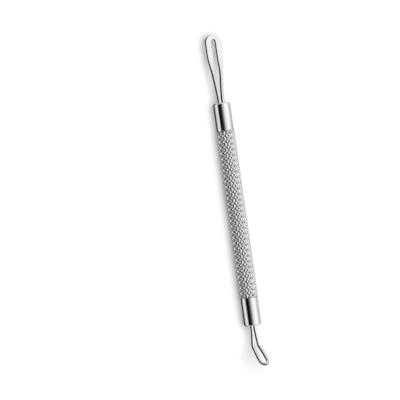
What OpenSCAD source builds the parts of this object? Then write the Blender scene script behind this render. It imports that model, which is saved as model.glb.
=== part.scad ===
// Double-ended blackhead extractor: a knurled steel handle with a loop fixed in each end.
// It lies along Y on the plane z = 0, with the wide loop towards +Y and the tip of the bent loop up.

/* [Handle] */
// Length of the handle between its two end faces
handle_len = 73.8; // [60:0.2:90]
// Diameter of the plain polished ends
shank_d = 5.7; // [5.2:0.1:8]
// Length of each plain end
shank_len = 9; // [6:0.5:14]
// Radius of the rounded rim at each end of the handle
rim_r = 0.4; // [0.1:0.05:0.6]
// Diameter of the socket drilled in each end
socket_d = 4.2; // [3.4:0.1:4.4]
// Room left behind the plug in each socket
socket_room = 0.5; // [0:0.1:2]

/* [Knurl] */
// Height of the diamond crests above the plain ends
crest_rise = 0.24; // [0.1:0.02:0.35]
// Depth of the grooves below the plain ends
groove_drop = 0.06; // [0.05:0.01:0.2]
// Number of grooves of each hand round the grip
grooves = 18; // [12:1:24]
// Distance along the grip from one diamond to the next
diamond_pitch = 1.84; // [1.4:0.02:2.6]

/* [Wide loop] */
// Distance from the end face to the outside of the tip
wide_reach = 22.85; // [18:0.05:28]
// Width over the outside of the flattened head
wide_loop_w = 5.4; // [4.6:0.1:6.4]
// Length of the head, from its tip back to where its sides close in
wide_head_len = 6.4; // [5:0.1:8]
// Width of the flattened band along the sides of the head
wide_band_w = 1.85; // [1.2:0.05:2]
// Width of the flattened band at the tip
wide_tip_w = 1.5; // [1:0.05:1.8]
// Thickness of the flattened band
wide_band_t = 0.9; // [0.6:0.05:1.1]
// Distance from the end face to where the flattening starts
wide_flat_start = 9; // [6:0.5:12]
// Width of each leg, in the plane of the loop
wide_leg_w = 0.9; // [0.6:0.05:0.95]
// Thickness of each leg, across the plane of the loop
wide_leg_t = 1.15; // [0.9:0.05:1.3]
// Gap between the two legs where they enter the handle
wide_leg_gap = 0.4; // [0.3:0.05:0.6]

/* [Narrow loop] */
// Distance from the end face to the bend
narrow_neck = 6.8; // [5:0.1:9]
// Length of the bent part, from the bend to the outside of the tip
narrow_tip_len = 8.4; // [6:0.1:10]
// Angle of the bend
narrow_bend = 42; // [20:1:55]
// Radius of the bend, at the middle of the wire
narrow_bend_r = 1.5; // [1:0.1:2.5]
// Width over the outside of the loop
narrow_loop_w = 3.4; // [2.6:0.1:4]
// Length of the round part of the loop, from its tip back to where its sides close in
narrow_head_len = 3.4; // [2.8:0.1:4.5]
// Width of the wire, in the plane of the loop
narrow_wire_w = 0.7; // [0.5:0.05:0.8]
// Thickness of the wire, across the plane of the loop
narrow_wire_t = 1.1; // [0.8:0.05:1.2]
// Gap between the two legs where they enter the handle
narrow_leg_gap = 0.35; // [0.2:0.05:0.5]

/* [End plugs] */
// Length of each plug
plug_len = 8; // [7:0.5:12]
// Depth to which the legs go into the plug
leg_depth = 6; // [4:0.5:6.5]
// Width of the bevel round each end of a plug
plug_bevel = 0.12; // [0.05:0.01:0.2]
// Room for solder between the legs and the wall of the hole
solder_gap = 0.06; // [0.03:0.01:0.12]
// Height of the solder fillet above the end face
fillet_h = 0.3; // [0.15:0.05:0.4]
// Width of the slope of the solder fillet
fillet_w = 0.22; // [0.1:0.02:0.3]

/* [Hidden] */

// Squareness of the wire's section: 2 is an ellipse, and more is a fuller corner
corner_power = 3.6;
// Sides that stand for a full circle on the handle, on a leg's hole and on a rim's section
round_sides = 96;
hole_sides = 64;
rim_sides = 48;
// Sides of the wire's section
section_sides = 16;
// Rings along one side of a loop, and round half of its tip
side_rings = 18;
tip_rings = 9;
// Spread of the legs where they leave the handle, as a slope
leg_spread = 0.03;
// Straight stretch of each leg outside the end face
leg_lead = 0.5;
// Length by which a cut runs past the face that it opens
cut_past = 1;

shank_r = shank_d / 2;
socket_r = socket_d / 2;
socket_depth = plug_len + socket_room;
crest_r = shank_r + crest_rise;
groove_r = shank_r - groove_drop;
grip_len = handle_len - 2 * shank_len;
columns = 2 * round(grooves);
rows = 2 * round(grip_len / diamond_pitch);

wide_leg_x = (wide_leg_gap + wide_leg_w) / 2;
narrow_leg_x = (narrow_leg_gap + narrow_wire_w) / 2;
wide_hole_r = norm([wide_leg_x + wide_leg_w / 2, wide_leg_t / 2]) + solder_gap;
narrow_hole_r = norm([narrow_leg_x + narrow_wire_w / 2, narrow_wire_t / 2]) + solder_gap;

// The bend is an arc centred on the neck's end, and the rest of the bent part is straight
bend_arc = narrow_bend_r * narrow_bend * PI / 180;
bend_start = narrow_neck - bend_arc / 2;
narrow_flat_len = narrow_neck + narrow_tip_len;
past_bend = narrow_flat_len - narrow_wire_w / 2 - bend_start - bend_arc;
// Furthest point of the tip's section along the handle, by the support function of a superellipse
dual_power = corner_power / (corner_power - 1);
tip_corner = pow(
    pow(narrow_wire_w / 2 * cos(narrow_bend), dual_power)
        + pow(narrow_wire_t / 2 * sin(narrow_bend), dual_power),
    1 / dual_power
);
narrow_reach = bend_start + narrow_bend_r * sin(narrow_bend) + past_bend * cos(narrow_bend) + tip_corner;

// The handle lies on two rows of crests, one each side of its lowest line
axis_h = crest_r * cos(180 / columns);
overall_len = wide_reach + handle_len + narrow_reach;
wide_face_y = overall_len / 2 - wide_reach;
narrow_face_y = wide_face_y - handle_len;

// Places children with the handle's axis as Z and the wide end's face at the origin
module at_wide_end() {
    translate([0, wide_face_y, axis_h]) rotate([-90, 0, 0]) children();
}

// Places children with the axis as Z, the narrow end's face at the origin and Y up
module at_narrow_end() {
    translate([0, narrow_face_y, axis_h]) rotate([90, 0, 0]) children();
}

// One plain end, from its rounded rim at z = 0 down
module shank() {
    rotate_extrude($fn = round_sides) {
        translate([0, -shank_len]) square([shank_r - rim_r, shank_len]);
        translate([0, -shank_len]) square([shank_r, shank_len - rim_r]);
        translate([shank_r - rim_r, -rim_r]) circle(rim_r, $fn = rim_sides);
    }
}

// Grooves of both hands cross at the even places of a grid round the grip, with a crest at each odd one
function is_crest(k, m) = m > 0 && m < rows && (k + m) % 2 == 1;

function knurl_point(k, m) =
    let(
        r = is_crest(k, m) ? crest_r : groove_r,
        a = 90 + (k + 0.5) * 360 / columns
    )
    [r * cos(a), r * sin(a), m * grip_len / rows];

// Two triangles of a grid square, split along the line of its groove, on a body that starts at row m0
function knurl_square(k, m, m0) =
    let(
        next = (k + 1) % columns,
        a = (m - m0) * columns + k,
        b = (m - m0) * columns + next,
        c = b + columns,
        d = a + columns
    )
    (k + m) % 2 == 0 ? [[a, c, b], [a, d, c]] : [[a, d, b], [b, d, c]];

// The grip from row m0 to row m1, counted from the narrow end's side
module knurled_body(m0, m1) {
    points = [for (m = [m0 : m1]) for (k = [0 : columns - 1]) knurl_point(k, m)];
    sides = [for (m = [m0 : m1 - 1]) for (k = [0 : columns - 1]) each knurl_square(k, m, m0)];
    first = [for (k = [0 : columns - 1]) k];
    last = [for (k = [columns - 1 : -1 : 0]) (m1 - m0) * columns + k];
    translate([0, 0, -handle_len + shank_len])
        polyhedron(points, concat([first, last], sides), convexity = 4);
}

// Room for a plug, from the end face in
module socket() {
    translate([0, 0, -socket_depth])
        cylinder(r = socket_r, h = socket_depth + cut_past, $fn = round_sides);
}

// The handle is one bar, drawn as two plain ends and two halves of the grip that meet face to face
module wide_plain_end() {
    color("gainsboro") at_wide_end() difference() {
        shank();
        socket();
    }
}

module wide_grip_half() {
    color("lightgray") at_wide_end() difference() {
        knurled_body(rows / 2, rows);
        socket();
    }
}

module narrow_grip_half() {
    color("lightgray") difference() {
        at_wide_end() knurled_body(0, rows / 2);
        at_narrow_end() socket();
    }
}

module narrow_plain_end() {
    color("gainsboro") at_narrow_end() difference() {
        shank();
        socket();
    }
}

// A plug that fills a socket's mouth, with a hole for the legs
module plug(hole_r) {
    difference() {
        rotate_extrude($fn = round_sides) polygon([
            [0, -plug_len], [socket_r - plug_bevel, -plug_len], [socket_r, -plug_len + plug_bevel],
            [socket_r, -plug_bevel], [socket_r - plug_bevel, 0], [0, 0]
        ]);
        translate([0, 0, -leg_depth]) cylinder(r = hole_r, h = leg_depth + cut_past, $fn = hole_sides);
    }
}

module wide_end_plug() {
    color("silver") at_wide_end() plug(wide_hole_r);
}

module narrow_end_plug() {
    color("silver") at_narrow_end() plug(narrow_hole_r);
}

function signed_power(v, e) = sign(v) * pow(abs(v), e);

function section_point(i, w, t) =
    let(a = 360 * i / section_sides)
    [w / 2 * signed_power(cos(a), 2 / corner_power), t / 2 * signed_power(sin(a), 2 / corner_power)];

function ease(t) = t * t * (3 - 2 * t);

function share(v, low, high) = min(1, max(0, (v - low) / (high - low)));

// Half the distance between the wire's two sides, at share t of the way from the handle to the head
function spread(t, leg_x, head_x, length) =
    leg_x + (head_x - leg_x) * ease(t) + leg_spread * length * t * (1 - t) * (1 - t);

// One side of a loop, from the bottom of its leg to the middle of the tip.
// Each point is [across, along, width, thickness]
function half_loop(reach, head_len, leg_x, head_x, leg, band, tip_w, flat_start) =
    let(
        taper_len = reach - head_len - leg_lead,
        arc_at = reach - tip_w / 2 - head_x
    )
    [
        [leg_x, -leg_depth, leg[0], leg[1]],
        for (i = [0 : side_rings])
            let(
                t = i / side_rings,
                s = leg_lead + taper_len * t,
                f = ease(share(s, flat_start, reach - head_len))
            )
            concat([spread(t, leg_x, head_x, taper_len), s], leg + (band - leg) * f),
        for (i = [0 : tip_rings])
            let(a = 90 * i / tip_rings)
            [
                head_x * cos(a), arc_at + head_x * sin(a),
                band[0] + (tip_w - band[0]) * ease(i / tip_rings), band[1]
            ]
    ];

function mirrored(half) =
    [for (i = [len(half) - 2 : -1 : 0]) [-half[i][0], half[i][1], half[i][2], half[i][3]]];

function wide_path() =
    let(
        head_x = (wide_loop_w - wide_band_w) / 2,
        half = half_loop(
            wide_reach, wide_head_len, wide_leg_x, head_x, [wide_leg_w, wide_leg_t],
            [wide_band_w, wide_band_t], wide_tip_w, wide_flat_start
        )
    )
    concat(half, mirrored(half));

function narrow_path() =
    let(
        head_x = (narrow_loop_w - narrow_wire_w) / 2,
        wire = [narrow_wire_w, narrow_wire_t],
        half = half_loop(
            narrow_flat_len, narrow_head_len, narrow_leg_x, head_x, wire, wire, narrow_wire_w, 0
        )
    )
    concat(half, mirrored(half));

// A ring of the wire's section, square to the path at its point i, as [across, normal to the loop, along]
function ring(path, i) =
    let(
        before = path[max(0, i - 1)],
        after = path[min(len(path) - 1, i + 1)],
        run = [after[0] - before[0], after[1] - before[1]],
        d = run / norm(run),
        p = path[i]
    )
    [
        for (j = [0 : section_sides - 1])
            let(q = section_point(j, p[2], p[3]))
            [p[0] + d[1] * q[0], q[1], p[1] - d[0] * q[0]]
    ];

// Carries a point of the flat narrow loop round the bend, towards +Y
function bent(p) =
    let(
        a = max(0, min(narrow_bend, (p[2] - bend_start) / narrow_bend_r * 180 / PI)),
        past = max(0, p[2] - bend_start - bend_arc),
        r = narrow_bend_r - p[1]
    )
    p[2] <= bend_start ? p
        : [p[0], narrow_bend_r - r * cos(a) + past * sin(a), bend_start + r * sin(a) + past * cos(a)];

// A closed solid through rings of section_sides points each
module swept(rings) {
    n = section_sides;
    count = len(rings);
    sides = [
        for (i = [0 : count - 2]) for (j = [0 : n - 1])
            let(a = i * n + j, b = i * n + (j + 1) % n)
            each [[a, b, b + n], [a, b + n, a + n]]
    ];
    first = [for (j = [n - 1 : -1 : 0]) j];
    last = [for (j = [0 : n - 1]) (count - 1) * n + j];
    polyhedron([for (r = rings) each r], concat([first, last], sides), convexity = 6);
}

module wide_loop() {
    path = wide_path();
    color("whitesmoke") at_wide_end() swept([for (i = [0 : len(path) - 1]) ring(path, i)]);
}

module narrow_loop() {
    path = narrow_path();
    color("whitesmoke") at_narrow_end()
        swept([for (i = [0 : len(path) - 1]) [for (p = ring(path, i)) bent(p)]]);
}

// Solder that fills a plug's hole round both legs and slopes up to them outside
module solder(hole_r, leg_x, leg_w, leg_t) {
    difference() {
        union() {
            translate([0, 0, -leg_depth]) cylinder(r = hole_r, h = leg_depth, $fn = hole_sides);
            cylinder(r1 = hole_r, r2 = hole_r - fillet_w, h = fillet_h, $fn = hole_sides);
        }
        for (side = [-1, 1])
            translate([side * leg_x, 0, -leg_depth - cut_past])
                linear_extrude(leg_depth + fillet_h + 2 * cut_past)
                    polygon([for (i = [0 : section_sides - 1]) section_point(i, leg_w, leg_t)]);
    }
}

module wide_end_solder() {
    color("lightgray") at_wide_end() solder(wide_hole_r, wide_leg_x, wide_leg_w, wide_leg_t);
}

module narrow_end_solder() {
    color("lightgray") at_narrow_end() solder(narrow_hole_r, narrow_leg_x, narrow_wire_w, narrow_wire_t);
}

wide_plain_end();
wide_grip_half();
narrow_grip_half();
narrow_plain_end();
wide_end_plug();
narrow_end_plug();
wide_loop();
narrow_loop();
wide_end_solder();
narrow_end_solder();
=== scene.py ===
"""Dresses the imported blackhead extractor: its knurled handle, its two wire loops, its plugs and its solder.

Every piece is modelled in metres in the CAD model's frame, with the handle along Y, the wide loop towards
+Y and the bent loop turned up. The handle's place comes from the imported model, and the other sizes repeat
the part's own, apart from the knurl's finer diamonds and the wires' squarer edges.
"""

import logging
import math
from dataclasses import dataclass
from enum import Enum

import bmesh
import bpy
from mathutils import Matrix, Vector


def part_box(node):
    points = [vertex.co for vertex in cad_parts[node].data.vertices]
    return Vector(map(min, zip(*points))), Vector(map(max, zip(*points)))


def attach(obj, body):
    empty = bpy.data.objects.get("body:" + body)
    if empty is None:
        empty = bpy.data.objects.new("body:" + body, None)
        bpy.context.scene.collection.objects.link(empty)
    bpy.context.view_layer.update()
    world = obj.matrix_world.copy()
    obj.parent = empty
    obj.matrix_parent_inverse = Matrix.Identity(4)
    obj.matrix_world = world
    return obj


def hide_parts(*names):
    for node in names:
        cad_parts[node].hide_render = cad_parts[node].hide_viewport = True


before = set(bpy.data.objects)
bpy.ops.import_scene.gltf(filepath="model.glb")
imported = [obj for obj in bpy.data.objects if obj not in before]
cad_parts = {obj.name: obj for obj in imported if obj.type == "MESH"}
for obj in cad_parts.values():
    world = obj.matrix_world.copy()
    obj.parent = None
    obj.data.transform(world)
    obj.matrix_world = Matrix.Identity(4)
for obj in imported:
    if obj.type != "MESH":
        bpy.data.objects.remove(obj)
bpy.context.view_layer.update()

MM = 0.001

# Vertices closer than this are one, and a vertex this close to a plane lies in it
WELD = 0.002 * MM

# The mix node has sockets for every kind of value, and these are the ones for colours
MIX_SHARE = 0
MIX_FIRST = 6
MIX_SECOND = 7
MIX_RESULT = 2

LOG = logging.getLogger("extractor")

Colour = tuple[float, float, float, float]
Scale = tuple[float, float, float]


class End(Enum):
    """One end of the handle, with the way along Y that it points."""

    WIDE = 1.0
    NARROW = -1.0


class Ray(Enum):
    """A kind of ray that the floor or the world answers in its own way."""

    CAMERA = "Is Camera Ray"
    GLOSSY = "Is Glossy Ray"


def grey(level: float) -> Colour:
    """Returns a neutral colour of this level."""
    return (level, level, level, 1.0)


def ease(t: float) -> float:
    """Returns t eased in and out between 0 and 1."""
    t = min(1.0, max(0.0, t))
    return t * t * (3.0 - 2.0 * t)


def clear_selection() -> None:
    """Leaves edit mode and deselects every object."""
    if bpy.context.mode != "OBJECT":
        bpy.ops.object.mode_set(mode="OBJECT")
    bpy.ops.object.select_all(action="DESELECT")


def select_only(obj: bpy.types.Object) -> None:
    """Selects one object and makes it the active one."""
    clear_selection()
    obj.select_set(True)
    bpy.context.view_layer.objects.active = obj


def settle(obj: bpy.types.Object) -> None:
    """Moves a piece's place, turn and scale into its mesh, so that its object sits at the origin."""
    select_only(obj)
    bpy.ops.object.transform_apply(location=True, rotation=True, scale=True)


def close_and_turn_out(obj: bpy.types.Object) -> None:
    """Merges a piece's doubled vertices and turns its faces outwards."""
    select_only(obj)
    bpy.ops.object.mode_set(mode="EDIT")
    bpy.ops.mesh.select_all(action="SELECT")
    bpy.ops.mesh.remove_doubles(threshold=WELD)
    bpy.ops.mesh.normals_make_consistent(inside=False)
    bpy.ops.object.mode_set(mode="OBJECT")


def smooth(obj: bpy.types.Object, degrees: float) -> None:
    """Shades a piece smooth, and keeps each edge sharper than this angle crisp."""
    select_only(obj)
    bpy.ops.object.shade_smooth_by_angle(angle=math.radians(degrees))


def enter(obj: bpy.types.Object, piece: str, slot: str, *nodes: str) -> None:
    """Enters a finished piece in the frame.

    Args:
        obj: The piece's object.
        piece: The piece's name.
        slot: Not used.
        *nodes: The CAD nodes that it stands for.
    """
    obj.name = piece
    obj.data.name = piece
    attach(obj, "root")
    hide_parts(*nodes)
    LOG.info("%s: %d vertices, stands for %s", piece, len(obj.data.vertices), ", ".join(nodes))


class NodeTree:
    """A tree of shader nodes, with short ways to add the common ones."""

    def __init__(self, tree: bpy.types.NodeTree) -> None:
        """Takes the tree.

        Args:
            tree: The tree of a material or of the world.
        """
        self.tree = tree

    def node(self, kind: str, settings: dict | None = None, inputs: dict | None = None) -> bpy.types.Node:
        """Adds a node.

        Args:
            kind: The node's type.
            settings: Values of the node's own properties.
            inputs: For each socket, by name or number, a value or the output to link to it.

        Returns:
            The node.
        """
        made = self.tree.nodes.new(kind)
        for key, value in (settings or {}).items():
            setattr(made, key, value)
        for key, value in (inputs or {}).items():
            if isinstance(value, bpy.types.NodeSocket):
                self.tree.links.new(value, made.inputs[key])
            else:
                made.inputs[key].default_value = value
        return made

    def calculate(self, operation: str, *values: float | bpy.types.NodeSocket) -> bpy.types.NodeSocket:
        """Returns the result of one operation on numbers."""
        return self.node("ShaderNodeMath", {"operation": operation}, dict(enumerate(values))).outputs[0]

    def spread(
        self, value: bpy.types.NodeSocket, low: float, high: float, start: float = 0.0, end: float = 1.0
    ) -> bpy.types.NodeSocket:
        """Returns the value carried from start..end to low..high, and held there beyond them."""
        inputs = {"Value": value, "From Min": start, "From Max": end, "To Min": low, "To Max": high}
        return self.node("ShaderNodeMapRange", inputs=inputs).outputs[0]

    def mix(
        self,
        share: bpy.types.NodeSocket,
        first: Colour | bpy.types.NodeSocket,
        second: Colour | bpy.types.NodeSocket,
    ) -> bpy.types.NodeSocket:
        """Returns the first colour turned into the second by share."""
        inputs = {MIX_SHARE: share, MIX_FIRST: first, MIX_SECOND: second}
        return self.node("ShaderNodeMix", {"data_type": "RGBA"}, inputs).outputs[MIX_RESULT]


class Shading(NodeTree):
    """A material's node tree, built round its one Principled shader."""

    def __init__(self, name: str) -> None:
        """Makes the material.

        Args:
            name: The material's name.
        """
        self.material = bpy.data.materials.new(name)
        self.material.use_nodes = True
        super().__init__(self.material.node_tree)
        self.shader = self.tree.nodes["Principled BSDF"]

    def feed(self, socket: str, value: object) -> None:
        """Sets one of the shader's own sockets, or links an output to it."""
        if isinstance(value, bpy.types.NodeSocket):
            self.tree.links.new(value, self.shader.inputs[socket])
        else:
            self.shader.inputs[socket].default_value = value

    def place(self) -> bpy.types.NodeSocket:
        """Returns the surface point in the piece's own coordinates."""
        return self.node("ShaderNodeTexCoord").outputs["Object"]

    def stretched(self, vector: bpy.types.NodeSocket, scale: Scale) -> bpy.types.NodeSocket:
        """Returns a vector with each axis scaled by its own amount."""
        return self.node("ShaderNodeMapping", inputs={"Vector": vector, "Scale": scale}).outputs[0]

    def noise(
        self, vector: bpy.types.NodeSocket, scale: float = 1.0, detail: float = 4.0
    ) -> bpy.types.NodeSocket:
        """Returns a noise between 0 and 1 over the vector."""
        inputs = {"Vector": vector, "Scale": scale, "Detail": detail}
        return self.node("ShaderNodeTexNoise", inputs=inputs).outputs[0]

    def along(self, name: str) -> bpy.types.NodeSocket:
        """Returns one of the piece's own number attributes."""
        return self.node("ShaderNodeAttribute", {"attribute_name": name}).outputs["Fac"]

    def bump(
        self, height: bpy.types.NodeSocket, distance: float, strength: float
    ) -> bpy.types.NodeSocket:
        """Returns a normal bumped by a height.

        Args:
            height: The height, from 0 to 1.
            distance: The real height of 1, in metres.
            strength: The share of it that is used.

        Returns:
            The bumped normal.
        """
        inputs = {"Height": height, "Distance": distance, "Strength": strength}
        return self.node("ShaderNodeBump", inputs=inputs).outputs[0]


@dataclass(frozen=True)
class PolishedSteel:
    """Turned and buffed stainless steel, with the faint rings and handling haze of the plain ends."""

    name: str = "polished_steel"
    metal: Colour = (0.80, 0.80, 0.805, 1.0)
    haze: Colour = (0.74, 0.74, 0.745, 1.0)
    gloss: float = 0.03
    dull: float = 0.07
    cloud_scale: Scale = (320.0, 90.0, 320.0)
    ring_scale: Scale = (60.0, 16000.0, 60.0)
    ring_height: float = 0.0012 * MM

    def material(self) -> bpy.types.Material:
        """Builds the material."""
        s = Shading(self.name)
        cloud = s.noise(s.stretched(s.place(), self.cloud_scale), detail=3.0)
        rings = s.noise(s.stretched(s.place(), self.ring_scale), detail=2.0)
        s.feed("Metallic", 1.0)
        s.feed("Base Color", s.mix(s.spread(cloud, 0.0, 1.0, start=0.45, end=0.75), self.metal, self.haze))
        s.feed("Roughness", s.spread(cloud, self.gloss, self.dull, start=0.4, end=0.8))
        s.feed("Normal", s.bump(rings, self.ring_height, strength=0.35))
        return s.material


@dataclass(frozen=True)
class KnurledSteel:
    """Diamond-knurled steel: worn bright on its crests, with painted shade darkening its grooves, which are
    also rougher.
    """

    name: str = "knurled_steel"
    crest: Colour = (0.88, 0.88, 0.885, 1.0)
    flank: Colour = (0.80, 0.80, 0.805, 1.0)
    # The groove colour is painted shade: the knurl's recesses are darkened in the colour, where shade would
    # fall.
    painted_groove_shade: Colour = (0.40, 0.40, 0.405, 1.0)
    gloss: float = 0.04
    dull: float = 0.13
    grit_scale: Scale = (2600.0, 2600.0, 2600.0)
    grit_share: float = 0.3
    grit_height: float = 0.008 * MM
    patch_scale: Scale = (240.0, 120.0, 240.0)
    patch_share: float = 0.08

    def material(self) -> bpy.types.Material:
        """Builds the material."""
        s = Shading(self.name)
        grit = s.noise(s.stretched(s.place(), self.grit_scale), detail=5.0)
        patch = s.noise(s.stretched(s.place(), self.patch_scale), detail=3.0)
        # Low in the grooves, where it paints shade, and high on the worn crests, with grit mixed in.
        wear_and_groove_shade = s.calculate("MULTIPLY_ADD", grit, self.grit_share, s.along("rise"))
        low = s.mix(s.spread(wear_and_groove_shade, 0.0, 1.0, start=0.12, end=0.34), self.painted_groove_shade, self.flank)
        rough = s.spread(wear_and_groove_shade, self.dull, self.gloss, start=0.1, end=1.1)
        s.feed("Metallic", 1.0)
        s.feed("Base Color", s.mix(s.spread(wear_and_groove_shade, 1.0, 0.0, start=0.75, end=1.15), self.crest, low))
        s.feed("Roughness", s.calculate("MULTIPLY_ADD", patch, self.patch_share, rough))
        s.feed("Normal", s.bump(grit, self.grit_height, strength=0.4))
        return s.material


@dataclass(frozen=True)
class FacedSteel:
    """Steel faced on a lathe: fine rings round the handle's axis, slightly stained by soldering heat."""

    axis_h: float
    name: str = "faced_steel"
    metal: Colour = (0.66, 0.66, 0.665, 1.0)
    stain: Colour = (0.50, 0.475, 0.43, 1.0)
    ring_scale: float = 4200.0
    ring_waver: float = 0.6
    ring_height: float = 0.004 * MM
    cloud_scale: float = 1500.0

    def material(self) -> bpy.types.Material:
        """Builds the material."""
        s = Shading(self.name)
        centred = s.node(
            "ShaderNodeMapping", inputs={"Vector": s.place(), "Location": (0.0, 0.0, -self.axis_h)}
        ).outputs[0]
        rings = s.node(
            "ShaderNodeTexWave",
            {"wave_type": "RINGS", "rings_direction": "Y"},
            {"Vector": centred, "Scale": self.ring_scale, "Distortion": self.ring_waver, "Detail": 2.0},
        ).outputs["Fac"]
        cloud = s.noise(s.place(), self.cloud_scale, detail=3.0)
        s.feed("Metallic", 1.0)
        s.feed("Base Color", s.mix(s.spread(cloud, 0.0, 0.7, start=0.45, end=0.7), self.metal, self.stain))
        s.feed("Roughness", s.spread(rings, 0.24, 0.38))
        s.feed("Normal", s.bump(rings, self.ring_height, strength=0.5))
        return s.material


@dataclass(frozen=True)
class DrawnWire:
    """Stainless wire with fine drawing lines, satin where it was pressed flat, and at its side walls browned
    by heat and darkened with painted shade.
    """

    name: str
    metal: Colour = (0.62, 0.615, 0.61, 1.0)
    satin: Colour = (0.74, 0.74, 0.74, 1.0)
    # The side colour is partly heat tint and partly painted shade: the side walls are darkened in the colour
    # to stand in for the dark they reflect.
    side: Colour = (0.34, 0.31, 0.29, 1.0)
    gloss: float = 0.06
    pressed: float = 0.20
    line_scale: Scale = (60.0, 260.0, 1.0)
    line_height: float = 0.004 * MM
    cloud_scale: float = 700.0
    cloud_share: float = 0.10

    def material(self) -> bpy.types.Material:
        """Builds the material."""
        s = Shading(self.name)
        flat = s.along("flat")
        turn = s.along("turn")
        lines = s.node("ShaderNodeCombineXYZ", inputs={0: turn, 1: s.along("run"), 2: flat}).outputs[0]
        drawn = s.noise(s.stretched(lines, self.line_scale))
        cloud = s.noise(s.place(), self.cloud_scale, detail=3.0)
        # Turn is 1 on one side wall, 0 on the other and 0.5 on both faces, so this is highest on the walls
        across = s.calculate("ABSOLUTE", s.calculate("SUBTRACT", turn, 0.5))
        face = s.mix(flat, self.metal, self.satin)
        rough = s.spread(flat, self.gloss, self.pressed)
        s.feed("Metallic", 1.0)
        # Painted shade, partly heat tint: the side walls take the dark side colour.
        s.feed("Base Color", s.mix(s.spread(across, 1.0, 0.0, start=0.22, end=0.30), self.side, face))
        s.feed("Roughness", s.calculate("MULTIPLY_ADD", cloud, self.cloud_share, rough))
        s.feed("Normal", s.bump(drawn, self.line_height, strength=0.35))
        return s.material


@dataclass(frozen=True)
class SilverSolder:
    """Silver solder as it froze: warm, pale and a little rippled."""

    name: str = "silver_solder"
    metal: Colour = (0.74, 0.72, 0.66, 1.0)
    oxide: Colour = (0.50, 0.47, 0.42, 1.0)
    ripple_scale: float = 2200.0
    ripple_height: float = 0.03 * MM
    cloud_scale: float = 900.0

    def material(self) -> bpy.types.Material:
        """Builds the material."""
        s = Shading(self.name)
        ripple = s.noise(s.place(), self.ripple_scale)
        cloud = s.noise(s.place(), self.cloud_scale, detail=2.0)
        s.feed("Metallic", 1.0)
        s.feed("Base Color", s.mix(s.spread(cloud, 0.0, 0.8, start=0.45, end=0.7), self.metal, self.oxide))
        s.feed("Roughness", s.spread(cloud, 0.26, 0.5))
        s.feed("Normal", s.bump(ripple, self.ripple_height, strength=0.5))
        return s.material


@dataclass(frozen=True)
class Seat:
    """Where one end's pieces sit: its face on the handle's axis, with out pointing away from the handle."""

    end: End
    face_y: float
    axis_h: float

    def point(self, across: float, up: float, out: float) -> Vector:
        """Returns a point of this end in the model's frame."""
        return Vector((across, self.face_y + self.end.value * out, self.axis_h + up))


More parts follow.
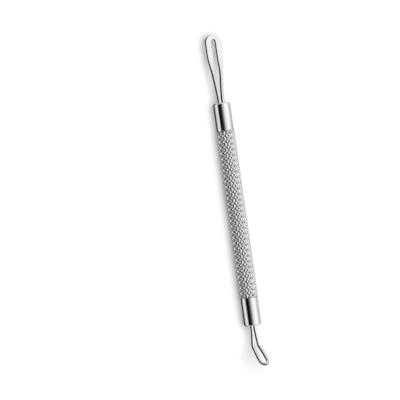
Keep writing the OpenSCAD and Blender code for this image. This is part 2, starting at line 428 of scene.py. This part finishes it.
@dataclass
class Handle:
    """The steel bar: a diamond-knurled grip between two plain polished ends, each drilled for a plug.

    Attributes:
        wide_y: The place of the wide loop's end face along Y.
        narrow_y: The place of the narrow loop's end face along Y.
        axis_h: The height of the bar's axis.
        shank_r: The radius of the plain ends.
        shank_len: The length of each plain end.
        rim_r: The radius that each end face's rim is rounded to.
        rim_steps: The steps of that rounding.
        socket_r: The radius of the sockets.
        socket_depth: The depth of the sockets.
        crest_r: The radius over the knurl's crests.
        groove_r: The radius at the bottom of its grooves.
        grooves: The number of grooves of each hand round the grip.
        pitches: The number of diamonds along the grip.
        fade: The length over which the knurl runs out at each end.
        shoulder_drop: How far the plain end's edge at the knurl is bevelled inwards.
        shoulder_len: How far it is bevelled along the bar.
        shoulder_support: How far from the knurl the straight surface has its first ring.
        rim_support: How far from the rim's rounding it has its last one.
        socket_flare: How far the socket's edge is bevelled outwards.
        socket_bevel: How far it is bevelled along the bar.
        crisp: The angle in degrees above which an edge is kept crisp.
    """

    wide_y: float
    narrow_y: float
    axis_h: float
    shank_r: float = 2.85 * MM
    shank_len: float = 9.0 * MM
    rim_r: float = 0.4 * MM
    rim_steps: int = 8
    socket_r: float = 2.1 * MM
    socket_depth: float = 8.5 * MM
    crest_r: float = 3.09 * MM
    groove_r: float = 2.86 * MM
    grooves: int = 18
    pitches: int = 30
    fade: float = 0.55 * MM
    shoulder_drop: float = 0.03 * MM
    shoulder_len: float = 0.04 * MM
    shoulder_support: float = 0.3 * MM
    rim_support: float = 0.24 * MM
    socket_flare: float = 0.06 * MM
    socket_bevel: float = 0.05 * MM
    crisp: float = 20.0

    # The four nodes that the one bar stands for
    NODES = ("wide_plain_end", "wide_grip_half", "narrow_grip_half", "narrow_plain_end")

    # Where the lines of one diamond lie between two grooves, and how high it stands there
    LINES = (0.0, 0.03, 0.46, 0.5, 0.54, 0.97, 1.0)
    RISES = (0.0, 0.03, 0.95, 0.99, 0.95, 0.03, 0.0)

    # How far a share may fall short of a whole number and still count as it
    SHARE_SLACK = 1e-6

    def build(self, polish: bpy.types.Material, knurl: bpy.types.Material) -> bpy.types.Object:
        """Models the bar and dresses it.

        Args:
            polish: The plain ends' material.
            knurl: The grip's material.

        Returns:
            The bar's object.
        """
        bar = self._knurl()
        for end in End:
            self._plain_end(bar, end)
        settle(bar)
        close_and_turn_out(bar)
        bar.data.materials.append(polish)
        bar.data.materials.append(knurl)
        low, high = self._grip_span()
        for face in bar.data.polygons:
            face.material_index = 1 if low < face.center.y < high else 0
        smooth(bar, self.crisp)
        enter(bar, "knurled_handle", "handle_steel", *self.NODES)
        return bar

    def _grip_span(self) -> tuple[float, float]:
        """Returns the two ends of the knurl along Y."""
        return self.narrow_y + self.shank_len, self.wide_y - self.shank_len

    def _line(self, share: float) -> tuple[float, float]:
        """Returns where a line of the diamond's mesh moves between two grooves, and how high it stands."""
        whole = math.floor(share + self.SHARE_SLACK)
        step = round((share - whole) * (len(self.LINES) - 1))
        return whole + self.LINES[step], self.RISES[step]

    def _diamond_tile(self, width: float, length: float) -> bpy.types.Object:
        """Models one knurl tile laid flat: two crossing grooves, with half a diamond on each side."""
        clear_selection()
        bpy.ops.mesh.primitive_plane_add(size=1.0, location=(0.0, 0.0, 0.0))
        tile = bpy.context.active_object
        bpy.ops.object.mode_set(mode="EDIT")
        bpy.ops.mesh.select_all(action="SELECT")
        bpy.ops.transform.resize(value=(width, length, 1.0))
        bpy.ops.transform.translate(value=(width / 2, length / 2, 0.0))
        bpy.ops.mesh.poke()
        bpy.ops.mesh.subdivide(number_cuts=len(self.LINES) - 2)
        mesh = bmesh.from_edit_mesh(tile.data)
        for vert in mesh.verts:
            right, rise_right = self._line(vert.co.x / width + vert.co.y / length)
            left, rise_left = self._line(vert.co.x / width - vert.co.y / length)
            rise = min(rise_right, rise_left) * MM
            vert.co = (width * (right + left) / 2, length * (right - left) / 2, rise)
        bmesh.update_edit_mesh(tile.data)
        bpy.ops.object.mode_set(mode="OBJECT")
        return tile

    def _knurl(self) -> bpy.types.Object:
        """Lays the tiles side by side, rolls them into a sleeve and returns it."""
        low, high = self._grip_span()
        width = 2 * math.pi * self.shank_r / self.grooves
        length = (high - low) / self.pitches
        tile = self._diamond_tile(width, length)
        arrays = (("round", self.grooves, (width, 0, 0)), ("along", self.pitches, (0, length, 0)))
        for name, count, step in arrays:
            rows = tile.modifiers.new(name, "ARRAY")
            rows.count = count
            rows.use_relative_offset = False
            rows.use_constant_offset = True
            rows.constant_offset_displace = step
            rows.use_merge_vertices = True
            rows.merge_threshold = WELD
            bpy.ops.object.modifier_apply(modifier=name)
        mesh = tile.data
        rise = mesh.attributes.new("rise", "FLOAT", "POINT")
        first_turn = math.pi / (2 * self.grooves)
        for number, vert in enumerate(mesh.vertices):
            x, y, height = vert.co
            from_end = min(y, high - low - y)
            height = height / MM * ease(from_end / self.fade)
            rise.data[number].value = height
            turn = first_turn + x / self.shank_r
            radius = self.groove_r + (self.crest_r - self.groove_r) * height
            vert.co = (radius * math.cos(turn), low + y, self.axis_h + radius * math.sin(turn))
        close_and_turn_out(tile)
        return tile

    def _profile(self) -> list[tuple[float, float]]:
        """Returns the plain end's outline from knurl to socket, as distances in from its face and radii."""
        shoulder = [
            (self.shank_len, self.shank_r - self.shoulder_drop),
            (self.shank_len - self.shoulder_len, self.shank_r),
        ]
        straight = [
            (self.shank_len - self.shoulder_support, self.shank_r),
            (self.rim_r + self.rim_support, self.shank_r),
        ]
        rim = []
        for step in range(self.rim_steps + 1):
            a = math.pi / 2 * step / self.rim_steps
            rim.append((self.rim_r * (1 - math.sin(a)), self.shank_r - self.rim_r * (1 - math.cos(a))))
        face = [
            (0.0, self.socket_r + self.socket_flare),
            (self.socket_bevel, self.socket_r),
            (self.socket_depth, self.socket_r),
        ]
        return shoulder + straight + rim + face

    def _plain_end(self, bar: bpy.types.Object, end: End) -> None:
        """Extrudes the sleeve's open edge into one plain end, round its rim and down its closed socket."""
        face_y = self.wide_y if end is End.WIDE else self.narrow_y
        start = face_y - end.value * self.shank_len
        select_only(bar)
        bpy.ops.object.mode_set(mode="EDIT")
        bpy.ops.mesh.select_mode(type="EDGE")
        bpy.ops.mesh.select_all(action="DESELECT")
        mesh = bmesh.from_edit_mesh(bar.data)
        for edge in mesh.edges:
            edge.select_set(edge.is_boundary and all(abs(v.co.y - start) < WELD for v in edge.verts))
        bmesh.update_edit_mesh(bar.data)
        for number, (inward, radius) in enumerate(self._profile()):
            bpy.ops.mesh.extrude_edges_move()
            mesh = bmesh.from_edit_mesh(bar.data)
            ring = [v for v in mesh.verts if v.select]
            turns = {v: math.atan2(v.co.z - self.axis_h, v.co.x) % (2 * math.pi) for v in ring}
            if number == 0:
                # The knurl's edge is unevenly divided, and the plain end starts evenly divided
                ordered = sorted(ring, key=turns.get)
                first = turns[ordered[0]]
                turns = {v: first + 2 * math.pi * k / len(ring) for k, v in enumerate(ordered)}
            for vert in ring:
                turn = turns[vert]
                y = face_y - end.value * inward
                vert.co = (radius * math.cos(turn), y, self.axis_h + radius * math.sin(turn))
            bmesh.update_edit_mesh(bar.data)
        bpy.ops.mesh.edge_face_add()
        bpy.ops.mesh.select_mode(type="VERT")
        bpy.ops.object.mode_set(mode="OBJECT")


@dataclass(frozen=True)
class Station:
    """One place on a wire's path, in the loop's plane.

    Attributes:
        across: The place across the handle's axis.
        out: The place out from the handle's end face.
        width: The wire's width in the loop's plane.
        thick: The wire's thickness across that plane, where it is pressed flat.
        full: The thickness of the unpressed wire, which rounds the section.
        flat: How far the wire is pressed flat, from 0 to 1.
    """

    across: float
    out: float
    width: float
    thick: float
    full: float
    flat: float


@dataclass
class WireLoop:
    """A bent wire loop with both legs in one end of the handle.

    Attributes:
        seat: The end that holds the legs.
        name: The piece's name.
        node: The CAD node that it stands for.
        slot: The name of a material slot, handed to enter with the piece.
        reach: How far the loop reaches out from the end face, measured along the unbent wire.
        head_len: The length of the parallel head, up to the tip.
        loop_w: The width of the head.
        leg_w: The wire's width at the legs.
        leg_t: The wire's thickness at the legs.
        leg_gap: The gap between the legs at the end face.
        band_w: The wire's width along the head.
        band_t: The wire's thickness along the head.
        tip_w: The wire's width at the tip.
        flat_start: How far out the wire starts to be pressed flat, or 0 for a wire that isn't.
        leg_depth: How deep the legs are in the plug.
        lead: How far out the legs run before they part.
        splay: How much the legs bow outwards.
        power: The squareness of the section, where 2 is an ellipse.
        sides: The corners of the section.
        side_rings: The stations along each side.
        tip_rings: The stations round each half of the tip.
        crisp: The angle in degrees above which an edge is kept crisp.
    """

    seat: Seat
    name: str
    node: str
    slot: str
    reach: float
    head_len: float
    loop_w: float
    leg_w: float
    leg_t: float
    leg_gap: float
    band_w: float
    band_t: float
    tip_w: float
    flat_start: float
    leg_depth: float = 6.0 * MM
    lead: float = 0.5 * MM
    splay: float = 0.03
    power: float = 6.0
    sides: int = 32
    side_rings: int = 44
    tip_rings: int = 20
    crisp: float = 50.0

    # The numbers that each vertex carries for the wire's finish: its place along and round the wire, and
    # how far the wire is pressed flat there
    MARKS = ("run", "turn", "flat")

    def build(self, material: bpy.types.Material) -> bpy.types.Object:
        """Models the loop and dresses it.

        Args:
            material: The wire's material.

        Returns:
            The loop's object.
        """
        path = self._path()
        rings = [self._ring(path, number) for number in range(len(path))]
        wire = self._draw(path, rings)
        settle(wire)
        close_and_turn_out(wire)
        wire.data.materials.append(material)
        smooth(wire, self.crisp)
        enter(wire, self.name, self.slot, self.node)
        return wire

    def bend(self, point: Vector) -> Vector:
        """Returns a point of the flat loop, as across, up and out, where it comes to lie."""
        return point

    def _half(self) -> list[Station]:
        """Returns the path from the bottom of one leg to the middle of the tip."""
        head_x = (self.loop_w - self.band_w) / 2
        leg_x = (self.leg_gap + self.leg_w) / 2
        head_at = self.reach - self.head_len
        taper = head_at - self.lead
        arc_at = self.reach - self.tip_w / 2 - head_x
        stations = [Station(leg_x, -self.leg_depth, self.leg_w, self.leg_t, self.leg_t, 0.0)]
        for number in range(self.side_rings + 1):
            t = number / self.side_rings
            out = self.lead + taper * t
            across = leg_x + (head_x - leg_x) * ease(t) + self.splay * taper * t * (1 - t) * (1 - t)
            flat = ease((out - self.flat_start) / (head_at - self.flat_start)) if self.flat_start else 0.0
            width = self.leg_w + (self.band_w - self.leg_w) * flat
            thick = self.leg_t + (self.band_t - self.leg_t) * flat
            stations.append(Station(across, out, width, thick, self.leg_t, flat))
        flat = 1.0 if self.flat_start else 0.0
        for number in range(self.tip_rings + 1):
            a = math.pi / 2 * number / self.tip_rings
            width = self.band_w + (self.tip_w - self.band_w) * ease(number / self.tip_rings)
            across = head_x * math.cos(a)
            out = arc_at + head_x * math.sin(a)
            stations.append(Station(across, out, width, self.band_t, self.leg_t, flat))
        return stations

    def _path(self) -> list[Station]:
        """Returns the whole path, from the bottom of one leg round the tip to the bottom of the other."""
        half = self._half()
        back = [Station(-s.across, s.out, s.width, s.thick, s.full, s.flat) for s in reversed(half[:-1])]
        return half + back

    def _squared(self, value: float) -> float:
        """Returns a unit circle's coordinate pushed out towards the square by the section's power."""
        return math.copysign(abs(value) ** (2 / self.power), value)

    def _ring(self, path: list[Station], number: int) -> list[Vector]:
        """Returns the wire's section at one station, pressed flat as far as the station says."""
        here = path[number]
        before = path[max(0, number - 1)]
        after = path[min(len(path) - 1, number + 1)]
        run = Vector((after.across - before.across, after.out - before.out)).normalized()
        ring = []
        for corner in range(self.sides):
            a = 2 * math.pi * corner / self.sides
            side = self._squared(math.cos(a)) * here.width / 2
            top = max(-here.thick / 2, min(here.thick / 2, self._squared(math.sin(a)) * here.full / 2))
            flat = Vector((here.across + run.y * side, top, here.out - run.x * side))
            across, up, out = self.bend(flat)
            ring.append(self.seat.point(across, up, out))
        return ring

    def _draw(self, path: list[Station], rings: list[list[Vector]]) -> bpy.types.Object:
        """Extrudes a disc from ring to ring, and marks each ring with its place on the wire."""
        clear_selection()
        bpy.ops.mesh.primitive_circle_add(vertices=self.sides, radius=self.leg_w, fill_type="NGON")
        wire = bpy.context.active_object
        bpy.ops.object.mode_set(mode="EDIT")
        bpy.ops.mesh.select_all(action="SELECT")
        mesh = bmesh.from_edit_mesh(wire.data)
        corner_of = mesh.verts.layers.int.new("corner")
        marks = {key: mesh.verts.layers.float.new(key) for key in self.MARKS}
        for number, vert in enumerate(mesh.verts):
            vert[corner_of] = number
        run = 0.0
        for number, ring in enumerate(rings):
            if number:
                bpy.ops.mesh.extrude_region_move()
                mesh = bmesh.from_edit_mesh(wire.data)
                corner_of = mesh.verts.layers.int["corner"]
                marks = {key: mesh.verts.layers.float[key] for key in self.MARKS}
                here = path[number]
                before = path[number - 1]
                run += math.hypot(here.across - before.across, here.out - before.out)
            for vert in (v for v in mesh.verts if v.select):
                corner = vert[corner_of]
                vert.co = ring[corner]
                vert[marks["run"]] = run
                vert[marks["turn"]] = abs(corner / self.sides - 0.5) * 2
                vert[marks["flat"]] = path[number].flat
            bmesh.update_edit_mesh(wire.data)
        mesh.verts.layers.int.remove(mesh.verts.layers.int["corner"])
        bmesh.update_edit_mesh(wire.data)
        bpy.ops.object.mode_set(mode="OBJECT")
        return wire


@dataclass
class BentLoop(WireLoop):
    """A wire loop that is bent up, across its own plane, part of the way along.

    Attributes:
        neck: How far out the middle of the bend is.
        angle: The angle of the bend.
        bend_r: The radius that the wire's middle is bent round.
    """

    neck: float = 6.8 * MM
    angle: float = math.radians(42.0)
    bend_r: float = 1.5 * MM

    def bend(self, point: Vector) -> Vector:
        """Carries a point of the flat loop round the bend."""
        across, up, out = point
        start = self.neck - self.bend_r * self.angle / 2
        if out <= start:
            return point
        a = min(self.angle, (out - start) / self.bend_r)
        past = max(0.0, out - start - self.bend_r * self.angle)
        radius = self.bend_r - up
        return Vector((
            across,
            self.bend_r - radius * math.cos(a) + past * math.sin(a),
            start + radius * math.sin(a) + past * math.cos(a),
        ))


@dataclass
class SolderFillet:
    """The solder in one end: a filling in the plug's hole that creeps up round both legs.

    Attributes:
        seat: The end that it is in.
        name: The piece's name.
        node: The CAD node that it stands for.
        loop: The loop whose legs it holds.
        gap: The gap between the legs' outer corners and the hole.
        height: How high the fillet climbs.
        cling: How far from the legs its top edge stays.
        squareness: The squareness of the top edge round both legs, where 2 is an ellipse.
        steps: The steps of the fillet's curve.
        sides: The corners of the filling.
        crisp: The angle in degrees above which an edge is kept crisp.
    """

    seat: Seat
    name: str
    node: str
    loop: WireLoop
    gap: float = 0.06 * MM
    height: float = 0.3 * MM
    cling: float = 0.02 * MM
    squareness: int = 4
    steps: int = 7
    sides: int = 64
    crisp: float = 60.0

    # The upright part of a normal above which a face counts as the top one
    TOP_FACE = 0.9

    def build(self, material: bpy.types.Material) -> bpy.types.Object:
        """Models the filling and dresses it.

        Args:
            material: The solder's material.

        Returns:
            The filling's object.
        """
        leg_out = self.loop.leg_gap / 2 + self.loop.leg_w
        hole_r = math.hypot(leg_out, self.loop.leg_t / 2) + self.gap
        clear_selection()
        bpy.ops.mesh.primitive_cylinder_add(
            vertices=self.sides, radius=hole_r, depth=self.loop.leg_depth, end_fill_type="NGON"
        )
        filling = bpy.context.active_object
        bpy.ops.object.mode_set(mode="EDIT")
        bpy.ops.mesh.select_all(action="SELECT")
        bpy.ops.transform.translate(value=(0.0, 0.0, -self.loop.leg_depth / 2))
        bpy.ops.mesh.select_all(action="DESELECT")
        bpy.ops.mesh.select_mode(type="FACE")
        mesh = bmesh.from_edit_mesh(filling.data)
        for face in mesh.faces:
            face.select_set(face.normal.z > self.TOP_FACE)
        bmesh.update_edit_mesh(filling.data)
        for number in range(1, self.steps + 1):
            bpy.ops.mesh.extrude_region_move()
            mesh = bmesh.from_edit_mesh(filling.data)
            creep = number / self.steps
            climb = self.height * (1 - math.sqrt(max(0.0, 1 - creep * creep)))
            for vert in (v for v in mesh.verts if v.select):
                turn = math.atan2(vert.co.y, vert.co.x)
                neck = self._neck(turn, leg_out + self.cling, self.loop.leg_t / 2 + self.cling)
                radius = hole_r + (min(neck, hole_r) - hole_r) * creep
                vert.co = (radius * math.cos(turn), radius * math.sin(turn), climb)
            bmesh.update_edit_mesh(filling.data)
        bpy.ops.mesh.select_mode(type="VERT")
        bpy.ops.object.mode_set(mode="OBJECT")
        for vert in filling.data.vertices:
            vert.co = self.seat.point(vert.co.x, vert.co.y, vert.co.z)
        settle(filling)
        close_and_turn_out(filling)
        filling.data.materials.append(material)
        smooth(filling, self.crisp)
        enter(filling, self.name, "solder", self.node)
        return filling

    def _neck(self, turn: float, half_w: float, half_t: float) -> float:
        """Returns how far out a rounded box round both legs reaches in one direction."""
        across = abs(math.cos(turn)) / half_w
        up = abs(math.sin(turn)) / half_t
        return (across ** self.squareness + up ** self.squareness) ** (-1 / self.squareness)


@dataclass
class Studio:
    """The pale floor, the soft light and the camera.

    Attributes:
        middle: The middle of the handle.
        roll: How far the camera leans round the handle, which stands for the tool's roll on the table.
        tilt: The handle's slant in the photograph.
        scale: The photograph's pixels for each millimetre.
        image: The photograph's width in pixels.
        handle_px: The place of the handle's middle in the photograph, in pixels.
        distance: The camera's distance from the handle.
        sensor: The width of the camera's sensor, in millimetres.
        near: The nearest distance that the camera sees.
        far: The furthest distance that it sees.
        floor_size: The floor's width.
        key_strength: The strength of the softbox.
        key_spread: The angle that the softbox fills.
        fill_strength: The even light on matt surfaces from all round.
        paper: The floor's own grey.
        camera_lift: The light that the camera sees added to the floor.
        narrow_side: How bright metal sees the side that the narrow loop points to.
        wide_side: How bright it sees the other side.
        sides_start: The part of a direction that points along the handle where those sides begin.
    """

    middle: Vector
    roll: float = math.radians(25.0)
    tilt: float = math.atan(0.14168)
    scale: float = 3.035
    image: int = 400
    handle_px: tuple[float, float] = (237.2, 214.3)
    distance: float = 0.8
    sensor: float = 36.0
    near: float = 0.01
    far: float = 50.0
    floor_size: float = 6.0
    key_strength: float = 3.5
    key_spread: float = math.radians(66.0)
    fill_strength: float = 0.10
    paper: float = 0.66
    camera_lift: float = 0.21
    narrow_side: float = 0.35
    wide_side: float = 1.05
    sides_start: float = 0.70

    # What metal sees round it, from straight down, up the left side, over the top and down the right side:
    # the angle from straight up towards the right, in degrees, and the brightness
    SURROUND = (
        (-180.0, 0.005), (-157.0, 0.02), (-148.0, 0.12), (-141.0, 0.28), (-129.0, 0.62), (-115.0, 0.94),
        (-94.0, 0.97), (-86.0, 0.48), (-79.0, 0.12), (-73.0, 0.010), (-58.0, 0.002), (-48.0, 0.008),
        (-38.0, 0.04), (-25.0, 0.22), (-13.0, 0.60), (-3.0, 0.85), (11.0, 1.08), (22.0, 1.22),
        (46.0, 1.22), (62.0, 0.97), (80.0, 0.70), (98.0, 0.64), (130.0, 0.64), (142.0, 0.30),
        (155.0, 0.04), (180.0, 0.005),
    )

    def build(self) -> None:
        """Builds the floor, the world, the light and the camera."""
        self._floor()
        self._world()
        self._light()
        self._camera()

    def _floor(self) -> None:
        """Lays a wide, matt white floor under the tool.

        The camera sees it a little brighter than the light makes it, and metal doesn't see it at all: the
        lower half of the surround is there instead.
        """
        clear_selection()
        bpy.ops.mesh.primitive_plane_add(size=self.floor_size, location=(0.0, 0.0, 0.0))
        floor = bpy.context.active_object
        floor.name = "floor"
        material = bpy.data.materials.new("matt_white")
        material.use_nodes = True
        material.node_tree.nodes.clear()
        tree = NodeTree(material.node_tree)
        camera = tree.node("ShaderNodeLightPath").outputs[Ray.CAMERA.value]
        paper = tree.node("ShaderNodeBsdfDiffuse", inputs={"Color": grey(self.paper)})
        lift = tree.calculate("MULTIPLY", camera, self.camera_lift)
        glow = tree.node("ShaderNodeEmission", inputs={"Strength": lift})
        both = tree.node("ShaderNodeAddShader", inputs={0: paper.outputs[0], 1: glow.outputs[0]})
        tree.node("ShaderNodeOutputMaterial", inputs={"Surface": both.outputs[0]})
        floor.data.materials.append(material)
        floor.visible_glossy = False

    def _world(self) -> None:
        """Makes the world: white to the camera, an even fill to matt surfaces, the surround to metal."""
        world = bpy.data.worlds.new("studio")
        bpy.context.scene.world = world
        world.use_nodes = True
        world.node_tree.nodes.clear()
        tree = NodeTree(world.node_tree)
        ray = tree.node("ShaderNodeLightPath").outputs
        white = tree.node("ShaderNodeBackground", inputs={"Color": grey(1.0)}).outputs[0]
        fill = tree.node(
            "ShaderNodeBackground", inputs={"Color": grey(1.0), "Strength": self.fill_strength}
        ).outputs[0]
        seen = tree.node("ShaderNodeBackground", inputs={"Color": self._surround(tree)}).outputs[0]
        on_surfaces = tree.node(
            "ShaderNodeMixShader", inputs={0: ray[Ray.GLOSSY.value], 1: fill, 2: seen}
        ).outputs[0]
        final = tree.node(
            "ShaderNodeMixShader", inputs={0: ray[Ray.CAMERA.value], 1: on_surfaces, 2: white}
        ).outputs[0]
        tree.node("ShaderNodeOutputWorld", inputs={"Surface": final})

    def _surround(self, tree: NodeTree) -> bpy.types.NodeSocket:
        """Returns what metal sees in each direction.

        Args:
            tree: The world's node tree.

        Returns:
            The pattern round the handle's axis, which fades to an even level along it.
        """
        way = tree.node("ShaderNodeTexCoord").outputs["Generated"]
        parts = tree.node("ShaderNodeSeparateXYZ", inputs={0: way}).outputs
        turn = tree.calculate("ARCTAN2", parts["X"], parts["Z"])
        share = tree.spread(turn, 0.0, 1.0, start=-math.pi, end=math.pi)
        ramp = tree.node("ShaderNodeValToRGB", inputs={"Fac": share})
        stops = ramp.color_ramp.elements
        while len(stops) < len(self.SURROUND):
            stops.new(1.0)
        for stop, (angle, level) in zip(stops, self.SURROUND):
            stop.position = (angle + 180.0) / 360.0
            stop.color = grey(level)
        along = tree.spread(tree.calculate("ABSOLUTE", parts["Y"]), 0.0, 1.0, start=self.sides_start)
        level = tree.spread(parts["Y"], self.narrow_side, self.wide_side, start=-1.0)
        return tree.mix(along, ramp.outputs["Color"], level)

    def _light(self) -> None:
        """Hangs one wide, soft light straight above."""
        sun = bpy.data.lights.new("softbox", "SUN")
        sun.energy = self.key_strength
        sun.angle = self.key_spread
        lamp = bpy.data.objects.new("softbox", sun)
        lamp.visible_glossy = False
        bpy.context.scene.collection.objects.link(lamp)

    def _camera(self) -> None:
        """Sets the camera at the photograph's angle, with the handle at its place in the photograph."""
        across = Vector((math.cos(self.roll), 0.0, math.sin(self.roll)))
        along = Vector((0.0, 1.0, 0.0))
        back = Vector((-math.sin(self.roll), 0.0, math.cos(self.roll)))
        right = across * math.cos(self.tilt) - along * math.sin(self.tilt)
        up = across * math.sin(self.tilt) + along * math.cos(self.tilt)
        shift_x = (self.handle_px[0] - self.image / 2) / self.scale * MM
        shift_y = -(self.handle_px[1] - self.image / 2) / self.scale * MM
        target = self.middle - right * shift_x - up * shift_y
        lens = bpy.data.cameras.new("camera")
        lens.sensor_width = self.sensor
        lens.lens = self.sensor * self.distance / (self.image / self.scale * MM)
        lens.clip_start = self.near
        lens.clip_end = self.far
        camera = bpy.data.objects.new("camera", lens)
        turn = Matrix((right, up, back)).transposed().to_4x4()
        camera.matrix_world = Matrix.Translation(target + back * self.distance) @ turn
        bpy.context.scene.collection.objects.link(camera)
        bpy.context.scene.camera = camera


@dataclass(frozen=True)
class Extractor:
    """The whole tool: its handle, its two loops, and the plugs and solder that hold them."""

    wide_y: float
    narrow_y: float
    axis_h: float

    @classmethod
    def in_frame(cls) -> "Extractor":
        """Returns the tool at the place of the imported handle, from its two end faces and its axis."""
        wide_low, wide_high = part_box("wide_plain_end")
        narrow_low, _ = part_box("narrow_plain_end")
        return cls(wide_high[1], narrow_low[1], (wide_low[2] + wide_high[2]) / 2)

    def middle(self) -> Vector:
        """Returns the middle of the handle."""
        return Vector((0.0, (self.wide_y + self.narrow_y) / 2, self.axis_h))

    def build(self) -> None:
        """Builds every piece in order."""
        handle = Handle(wide_y=self.wide_y, narrow_y=self.narrow_y, axis_h=self.axis_h)
        handle.build(PolishedSteel().material(), KnurledSteel().material())
        wide_seat = Seat(End.WIDE, self.wide_y, self.axis_h)
        narrow_seat = Seat(End.NARROW, self.narrow_y, self.axis_h)
        wide = WireLoop(
            seat=wide_seat, name="wide_wire", node="wide_loop", slot="wide_wire_steel",
            reach=22.85 * MM, head_len=6.4 * MM, loop_w=5.4 * MM, leg_w=0.9 * MM, leg_t=1.15 * MM,
            leg_gap=0.4 * MM, band_w=1.85 * MM, band_t=0.9 * MM, tip_w=1.5 * MM, flat_start=9.0 * MM,
            power=10.0,
        )
        wide.build(DrawnWire("pressed_wire").material())
        narrow = BentLoop(
            seat=narrow_seat, name="narrow_wire", node="narrow_loop", slot="narrow_wire_steel",
            reach=15.2 * MM, head_len=3.4 * MM, loop_w=3.4 * MM, leg_w=0.7 * MM, leg_t=1.1 * MM,
            leg_gap=0.35 * MM, band_w=0.7 * MM, band_t=1.1 * MM, tip_w=0.7 * MM, flat_start=0.0,
        )
        narrow.build(DrawnWire("drawn_wire", metal=(0.76, 0.76, 0.765, 1.0)).material())
        solder = SilverSolder().material()
        SolderFillet(wide_seat, "wide_solder", "wide_end_solder", wide).build(solder)
        SolderFillet(narrow_seat, "narrow_solder", "narrow_end_solder", narrow).build(solder)
        self._dress_plugs(FacedSteel(axis_h=self.axis_h).material())

    def _dress_plugs(self, material: bpy.types.Material) -> None:
        """Gives the two CAD plugs their finish."""
        for node in ("wide_end_plug", "narrow_end_plug"):
            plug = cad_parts[node]
            for slot in plug.material_slots:
                slot.material = material
            LOG.info("%s: dressed as %s", node, material.name)


def main() -> None:
    """Builds the tool and its studio."""
    logging.basicConfig(level=logging.INFO, format="%(name)s: %(message)s", force=True)
    bpy.context.scene.view_settings.view_transform = "Standard"
    extractor = Extractor.in_frame()
    extractor.build()
    Studio(middle=extractor.middle()).build()


if __name__ == "__main__":
    main()
